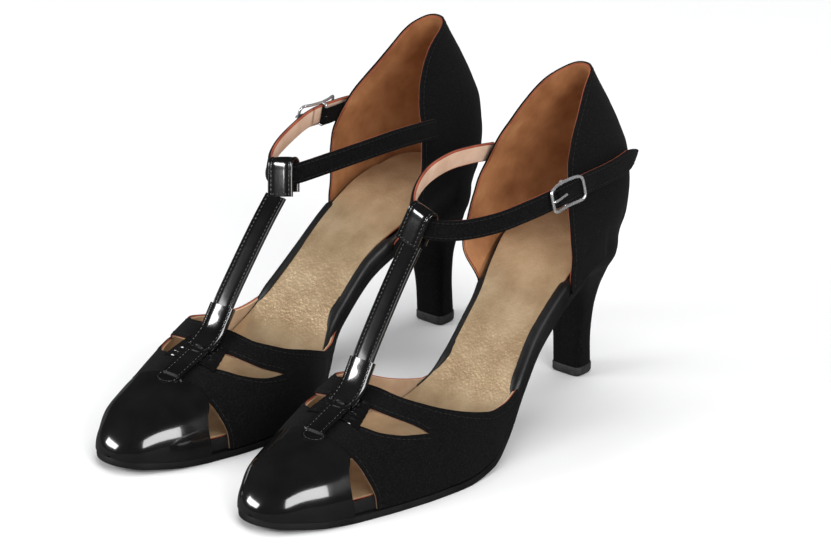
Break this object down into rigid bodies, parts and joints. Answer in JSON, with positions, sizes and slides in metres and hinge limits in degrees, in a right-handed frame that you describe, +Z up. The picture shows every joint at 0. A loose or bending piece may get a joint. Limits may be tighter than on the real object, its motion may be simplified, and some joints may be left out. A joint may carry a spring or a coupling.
{
  "type": "pair of T-strap heeled shoes",
  "caption": "Pair of closed-toe, open-waist T-strap heeled shoes: suede uppers, patent toe cap and T-strap, buckled ankle strap, covered heel.",
  "frame": {"origin": "middle of the pair, on the ground", "axes": "+Z up, toes point to -Y, +X is the wearer's left"},
  "size_m": [0.171, 0.2472, 0.1474],
  "materials": {
    "sole_leather": "smooth dark sole edge",
    "board": "pressed fibre",
    "gold_leather": "champagne gold, fine grain, soft metallic sheen",
    "steel": "plain steel",
    "cork": "granulated cork",
    "patent_leather": "black patent, glossy",
    "suede": "black suede, matt nap",
    "lining_leather": "tan lining leather, smooth",
    "black_leather": "black leather wrap, satin",
    "heel_plastic": "moulded heel core",
    "heel_rubber": "dark grey heel tip",
    "buckle_metal": "polished nickel"
  },
  "bodies": {
    "left_shoe": {"left_outsole": "sole_leather", "left_insole_board": "board", "left_sock_lining": "gold_leather", "left_shank": "steel", "left_forepart_filler": "cork", "left_toe_cap": "patent_leather", "left_toe_puff": "board", "left_vamp": "suede", "left_vamp_lining": "lining_leather", "left_quarter": "suede", "left_counter_stiffener": "board", "left_quarter_lining": "lining_leather", "left_waist_wrap": "black_leather", "left_heel_block": "heel_plastic", "left_heel_cover": "suede", "left_top_piece": "heel_rubber", "left_top_piece_pins": "steel", "left_heel_fasteners": "steel", "left_t_strap": "patent_leather", "left_t_strap_lining": "lining_leather", "left_t_strap_keeper": "patent_leather", "left_t_strap_loop": "patent_leather", "left_throat_underlay": "patent_leather", "left_ankle_strap": "suede", "left_ankle_strap_lining": "lining_leather", "left_buckle_strap": "suede"},
    "left_strap_tail": {"left_ankle_strap_tail": "suede"},
    "left_buckle_frame": {"left_buckle_frame": "buckle_metal"},
    "left_buckle_prong": {"left_buckle_prong": "buckle_metal"},
    "right_shoe": {"right_outsole": "sole_leather", "right_insole_board": "board", "right_sock_lining": "gold_leather", "right_shank": "steel", "right_forepart_filler": "cork", "right_toe_cap": "patent_leather", "right_toe_puff": "board", "right_vamp": "suede", "right_vamp_lining": "lining_leather", "right_quarter": "suede", "right_counter_stiffener": "board", "right_quarter_lining": "lining_leather", "right_waist_wrap": "black_leather", "right_heel_block": "heel_plastic", "right_heel_cover": "suede", "right_top_piece": "heel_rubber", "right_top_piece_pins": "steel", "right_heel_fasteners": "steel", "right_t_strap": "patent_leather", "right_t_strap_lining": "lining_leather", "right_t_strap_keeper": "patent_leather", "right_t_strap_loop": "patent_leather", "right_throat_underlay": "patent_leather", "right_ankle_strap": "suede", "right_ankle_strap_lining": "lining_leather", "right_buckle_strap": "suede"},
    "right_strap_tail": {"right_ankle_strap_tail": "suede"},
    "right_buckle_frame": {"right_buckle_frame": "buckle_metal"},
    "right_buckle_prong": {"right_buckle_prong": "buckle_metal"}
  },
  "joints": [
    {"name": "left_buckle_tilt", "type": "hinge", "parent": "left_shoe", "child": "left_buckle_frame", "pos_m": [0.06969, 0.05043, 0.10667], "axis": [-0.2246, -0.015, 0.9743], "range_deg": [-3, 3]},
    {"name": "left_prong_pivot", "type": "hinge", "parent": "left_buckle_frame", "child": "left_buckle_prong", "pos_m": [0.06969, 0.05043, 0.10667], "axis": [-0.2246, -0.015, 0.9743], "range_deg": [0, 35]},
    {"name": "left_strap_tail_lift", "type": "hinge", "parent": "left_shoe", "child": "left_strap_tail", "pos_m": [0.07175, 0.06289, 0.10722], "axis": [0.2471, -0.0372, -0.9683], "range_deg": [0, 60]},
    {"name": "right_buckle_tilt", "type": "hinge", "parent": "right_shoe", "child": "right_buckle_frame", "pos_m": [-0.07076, 0.05446, 0.10667], "axis": [-0.2248, 0.0118, -0.9743], "range_deg": [-3, 3]},
    {"name": "right_prong_pivot", "type": "hinge", "parent": "right_buckle_frame", "child": "right_buckle_prong", "pos_m": [-0.07076, 0.05446, 0.10667], "axis": [-0.2248, 0.0118, -0.9743], "range_deg": [0, 35]},
    {"name": "right_strap_tail_lift", "type": "hinge", "parent": "right_shoe", "child": "right_strap_tail", "pos_m": [-0.07299, 0.06689, 0.10722], "axis": [0.2465, 0.0407, 0.9683], "range_deg": [0, 60]},
    {"name": "right_shoe_lift", "type": "slide", "parent": "left_shoe", "child": "right_shoe", "axis": [0, 0, 1], "range_m": [0, 0.2]}
  ]
}
